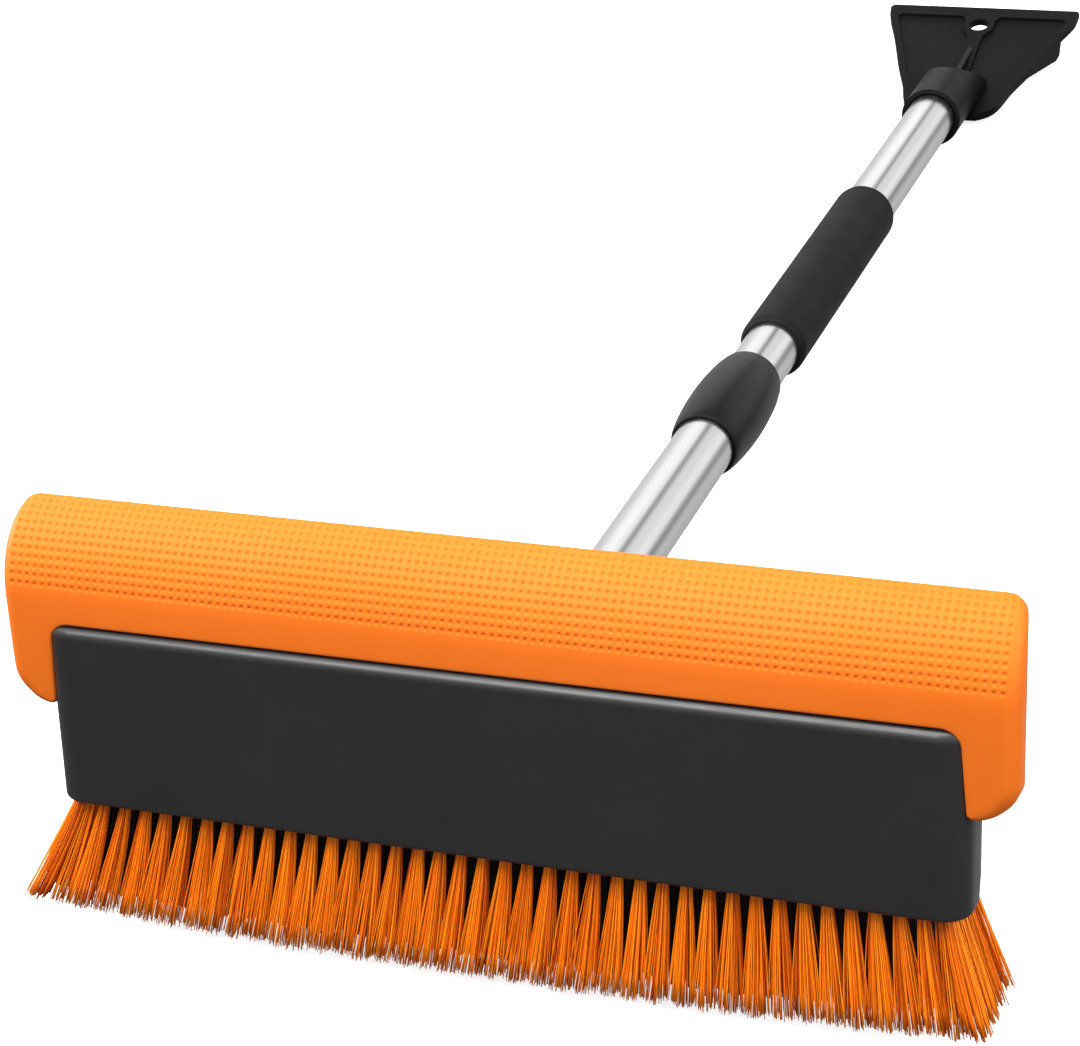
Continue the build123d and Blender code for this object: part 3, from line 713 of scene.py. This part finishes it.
def upright_row(name, row_i, n, mat, slot_name, forward, spread_x, spread_y, rng, root_r=2.35, **kw):
    y = ROW_Y[row_i]
    out = []
    for i in range(TUFTS):
        x = (i - (TUFTS - 1) / 2) * TUFT_PITCH
        y_root = y
        if abs(y - SCREW_Y) < 7 and min(abs(x - s) for s in SCREW_X) < 6.4:
            y_root = y - 3.4 if y < SCREW_Y else y + 3.4        # rooted clear of the board screw
        zt = TIP + 4.8 * (abs(x) / 172) ** 3 + rng.uniform(-0.5, 0.5)
        dx = math.tan(math.radians(lean_at(x) + rng.uniform(-1.0, 1.0))) * (BOARD - zt)
        out.append({"root": (x, y_root, BOARD), "tip": (x + dx, y + forward + rng.uniform(-0.6, 0.6), zt), "root_r": root_r,
                    "tip_x": spread_x, "tip_y": spread_y, "n": n})
    o = filaments(name, out, rng, **kw)
    o.data.materials.append(MAT[mat])
    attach(o, "head")
    return o


rng = np.random.default_rng(20)
front_row = upright_row("front_bristles", 0, 66, "bristle_orange", "bristle_orange", -6.5, 5.7, 3.8, rng, root_r=1.6, ease=1.2, r0=0.25, r1=0.17)
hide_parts("front_tufts")
m1 = upright_row("middle_front_bristles", 1, 64, "bristle_black", "bristle_black", -1.0, 4.9, 3.2, rng, root_r=3.5, segs=4)
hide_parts("middle_front_tufts")
m2 = upright_row("middle_rear_bristles", 2, 64, "bristle_black", "bristle_black", 2.0, 4.9, 3.6, rng, root_r=3.5, segs=4)
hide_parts("middle_rear_tufts")
back_row = upright_row("rear_bristles", 3, 50, "bristle_orange", "bristle_orange", 4.5, 4.9, 4.0, rng, segs=5)
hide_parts("rear_tufts")
for sx, name, node in ((-1, "left_end_bristles", "left_end_tufts"), (1, "right_end_bristles", "right_end_tufts")):
    tufts = []
    for y in ROW_Y:
        x = sx * 179.6
        reach = 25.0 if sx < 0 else 14.0
        fwd = np.interp(y, (9, 36.6), (-6.0, 5.0))
        tufts.append({"root": (x, y, BOARD), "tip": (x + sx * reach, y + fwd, -125.8), "root_r": 2.5, "tip_x": 5.0, "tip_y": 4.4, "n": 64})
        # a second, nearer fan fills the corner
        tufts.append({"root": (x - sx * 3.0, y + 1.5, BOARD), "tip": (x + sx * (reach - 9.5), y + fwd * 0.8, -127.4), "root_r": 2.0, "tip_x": 5.4, "tip_y": 4.0, "n": 42})
    o = filaments(name, tufts, rng)
    o.data.materials.append(MAT["bristle_orange"])
    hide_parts(node)
    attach(o, "head")

# ---------------------------------------------------------------------------
# camera
# ---------------------------------------------------------------------------
rv = np.array([1.93536650, 0.316033813, -0.267392834])
tv = np.array([-23.1461070, 59.1111337, 1163.69011])
a = np.linalg.norm(rv)
k = rv / a
K = np.array([[0, -k[2], k[1]], [k[2], 0, -k[0]], [-k[1], k[0], 0]])
R = np.eye(3) + math.sin(a) * K + (1 - math.cos(a)) * (K @ K)
place = row(-R.T @ tv)
axes = turn(np.array([R[0], -R[1], -R[2]]))
cam_data = bpy.data.cameras.new("camera")
cam_data.sensor_width = 36.0
cam_data.lens = 3067.845 / 1080.0 * 36.0
cam_data.clip_start, cam_data.clip_end = 0.01, 60.0
cam = bpy.data.objects.new("camera", cam_data)
bpy.context.scene.collection.objects.link(cam)
cam.matrix_world = Matrix([[axes[0][i], axes[1][i], axes[2][i], place[i]] for i in range(3)] + [[0, 0, 0, 1]])
bpy.context.scene.camera = cam

# ---------------------------------------------------------------------------
# floor and light
# ---------------------------------------------------------------------------
me = bpy.data.meshes.new("floor")
me.from_pydata([(-30, -30, 0), (30, -30, 0), (30, 30, 0), (-30, 30, 0)], [], [(0, 1, 2, 3)])
floor = bpy.data.objects.new("floor", me)
bpy.context.scene.collection.objects.link(floor)
fm, nt, b = new_mat("floor_paint")
v = coords(nt)
nt.links.new(ramp(nt, noise(nt, v, 3.0, 2.0), [(0.3, (0.58, 0.58, 0.58)), (0.7, (0.60, 0.60, 0.60))]), b.inputs["Base Color"])
b.inputs["Roughness"].default_value = 0.9
b.inputs["Specular IOR Level"].default_value = 0.1
b.inputs["Emission Color"].default_value = (1, 1, 1, 1)
b.inputs["Emission Strength"].default_value = 0.75
me.materials.append(fm)
floor.visible_diffuse = False        # a studio sweep far below the tool: it throws no light back up
floor.visible_glossy = False

world = bpy.data.worlds.new("world")
bpy.context.scene.world = world
world.use_nodes = True
bg = next(n for n in world.node_tree.nodes if n.type == "BACKGROUND")
wt = world.node_tree
tc = wt.nodes.new("ShaderNodeTexCoord")
sep = wt.nodes.new("ShaderNodeSeparateXYZ")
wt.links.new(tc.outputs["Generated"], sep.inputs["Vector"])
up = ramp(wt, spread(wt, sep.outputs["Z"], 0.0, 1.0, -1.0, 1.0),
          [(0.0, (0.10, 0.10, 0.10)), (0.45, (0.16, 0.16, 0.16)), (0.62, (0.40, 0.40, 0.40)), (1.0, (1.0, 1.0, 1.0))])
# behind the tool: pale sheets with darker gaps between them, set out by their angle
# about the pole, which the tubes mirror as streaks
turn_by = wt.nodes.new("ShaderNodeMath")
turn_by.operation = "ARCTAN2"
wt.links.new(sep.outputs["Z"], turn_by.inputs[0])
wt.links.new(sep.outputs["X"], turn_by.inputs[1])
sheets = [(0.03, 0.50), (0.142, 0.40), (0.286, 0.34), (0.40, 0.46), (0.445, 0.13), (0.475, 0.17), (0.50, 0.70), (0.53, 0.78), (0.60, 0.62), (0.69, 0.62),
          (0.715, 0.17), (0.745, 0.19), (0.775, 0.80), (0.847, 0.90), (0.936, 0.80), (0.97, 0.55)]
wall = ramp(wt, spread(wt, turn_by.outputs["Value"], 0.0, 1.0, -math.pi, math.pi), [(p, (c, c, c)) for p, c in sheets])
low = mixed(wt, "MIX", spread(wt, sep.outputs["Z"], 1.0, 0.0, 0.50, 0.62), (0.10, 0.10, 0.10, 1), wall)
wt.links.new(mixed(wt, "MIX", spread(wt, sep.outputs["Y"], 0.0, 1.0, 0.35, 0.62), up, low), bg.inputs["Color"])
bg.inputs["Strength"].default_value = 1.3


def softbox(name, loc, target, size, watts, colour=(1, 1, 1), size_y=None):
    li = bpy.data.lights.new(name, "AREA")
    li.shape = "RECTANGLE"
    li.size, li.size_y = size, size_y or size
    li.energy = watts
    li.color = colour
    o = bpy.data.objects.new(name, li)
    bpy.context.scene.collection.objects.link(o)
    o.location = loc
    o.rotation_euler = (Vector(target) - Vector(loc)).to_track_quat("-Z", "Y").to_euler()
    return o


softbox("key", (-0.8, -1.4, 2.2), (0, -0.3, 0.05), 0.9, 46)
softbox("top", (0.0, -0.4, 2.3), (0, -0.3, 0.05), 1.3, 52)
softbox("left_rim", (-1.6, -0.1, 0.7), (0, -0.1, 0.08), 0.7, 32, size_y=1.4)
softbox("right_rim", (1.65, -0.55, 0.8), (0, -0.1, 0.08), 0.6, 22, size_y=1.4)

bpy.context.scene.view_settings.view_transform = "Standard"
